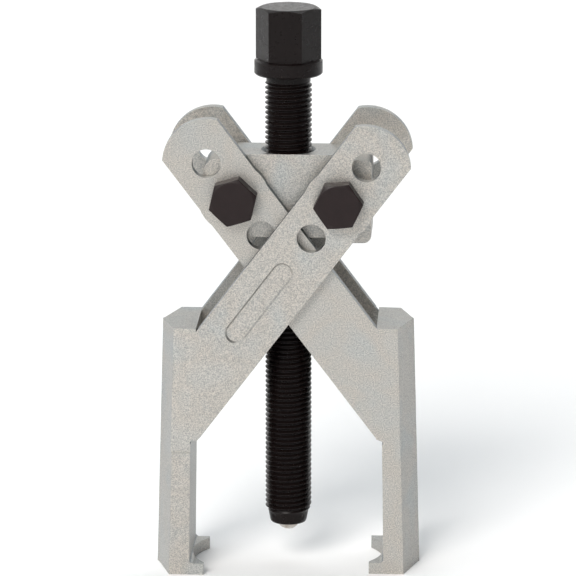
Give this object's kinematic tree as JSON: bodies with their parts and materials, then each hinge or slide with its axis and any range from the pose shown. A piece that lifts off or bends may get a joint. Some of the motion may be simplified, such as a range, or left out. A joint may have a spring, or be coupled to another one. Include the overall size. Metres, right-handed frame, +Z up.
{
  "type": "gear puller",
  "caption": "Gear puller: two hooked scissor arms cross on a steel crosshead, and a threaded forcing screw with a ball tip pushes against the shaft.",
  "frame": {"origin": "on the forcing screw's axis, level with the undersides of the hooks", "axes": "+Z up the forcing screw towards its hexagon head, +X towards the right arm's hook, -Y towards the front, where the bolt heads are"},
  "size_m": [0.0798, 0.0433, 0.1711],
  "materials": {
    "zinc": "zinc-plated forging, satin",
    "black_oxide": "black oxide, satin",
    "black_screw": "black oxide, oiled",
    "ball_steel": "bare steel, worn"
  },
  "bodies": {
    "crosshead": {"crosshead": "zinc", "pivot_bolt_left": "black_oxide", "pivot_bolt_right": "black_oxide", "pivot_nut_left": "black_oxide", "pivot_nut_right": "black_oxide"},
    "arm_left": {"arm_left": "zinc"},
    "arm_right": {"arm_right": "zinc"},
    "thrust_ball": {"thrust_ball": "ball_steel"},
    "forcing_screw": {"forcing_screw": "black_screw"}
  },
  "joints": [
    {"name": "arm_left_pivot", "type": "hinge", "parent": "crosshead", "child": "arm_left", "pos_m": [0.0156, 0, 0.1153], "axis": [0, 1, 0], "range_deg": [-10, 16]},
    {"name": "arm_right_pivot", "type": "hinge", "parent": "crosshead", "child": "arm_right", "pos_m": [-0.0156, 0, 0.1153], "axis": [0, -1, 0], "range_deg": [-10, 16]},
    {"name": "screw_feed", "type": "slide", "parent": "crosshead", "child": "thrust_ball", "axis": [0, 0, 1], "range_m": [-0.0195, 0.084]},
    {"name": "screw_turn", "type": "hinge", "parent": "thrust_ball", "child": "forcing_screw", "pos_m": [0, 0, 0.0139], "axis": [0, 0, 1], "range_deg": [-4681, 20161]}
  ],
  "couplings": [
    {"joint": "screw_turn", "follows": "screw_feed", "rad_per_m": 4188.8}
  ]
}
